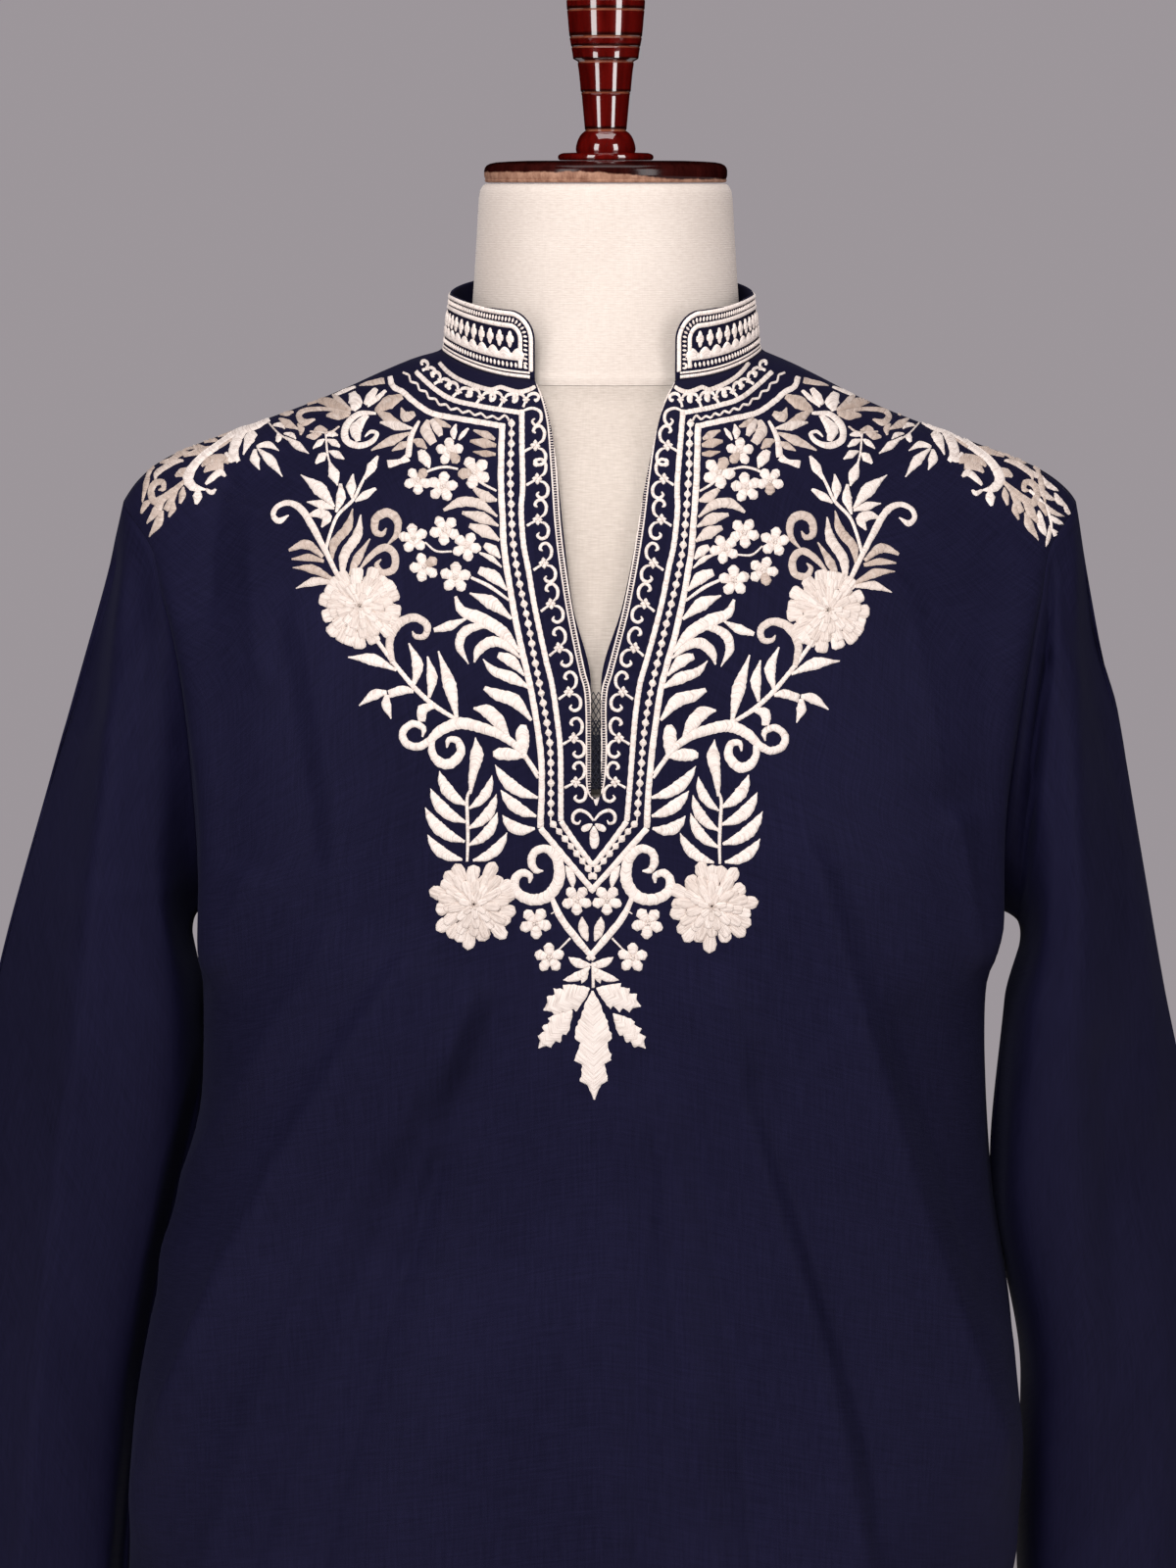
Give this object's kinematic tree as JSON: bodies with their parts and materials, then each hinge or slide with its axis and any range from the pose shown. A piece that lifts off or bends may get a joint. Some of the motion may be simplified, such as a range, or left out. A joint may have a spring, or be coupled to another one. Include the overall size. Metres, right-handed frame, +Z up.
{
  "type": "kurta on dress form",
  "caption": "Long kurta with stand collar, embroidered neck slit and long plain sleeves, filled out on a limbless dress form with turned cap and finial, pole and round foot.",
  "frame": {"origin": "centre of the round foot, on the floor", "axes": "+Z up; the kurta's front faces -Y; the wearer's left side is +X"},
  "size_m": [0.6551, 0.3792, 1.7082],
  "materials": {
    "navy_cloth": "smooth fine cotton satin, soft low sheen",
    "net_cloth": "fine openwork net, matt",
    "form_linen": "plain slubbed linen cover, matt",
    "turned_wood": "dark mahogany lacquer, gloss"
  },
  "bodies": {
    "root": {"kurta_front": "navy_cloth", "kurta_back": "navy_cloth", "sleeve_r": "navy_cloth", "sleeve_l": "navy_cloth", "collar_band": "navy_cloth", "slit_net": "net_cloth", "form_torso": "form_linen", "form_neck": "form_linen", "neck_cap": "turned_wood", "finial": "turned_wood", "form_plate": "turned_wood", "stand_pole": "turned_wood", "stand_base": "turned_wood"}
  },
  "joints": []
}
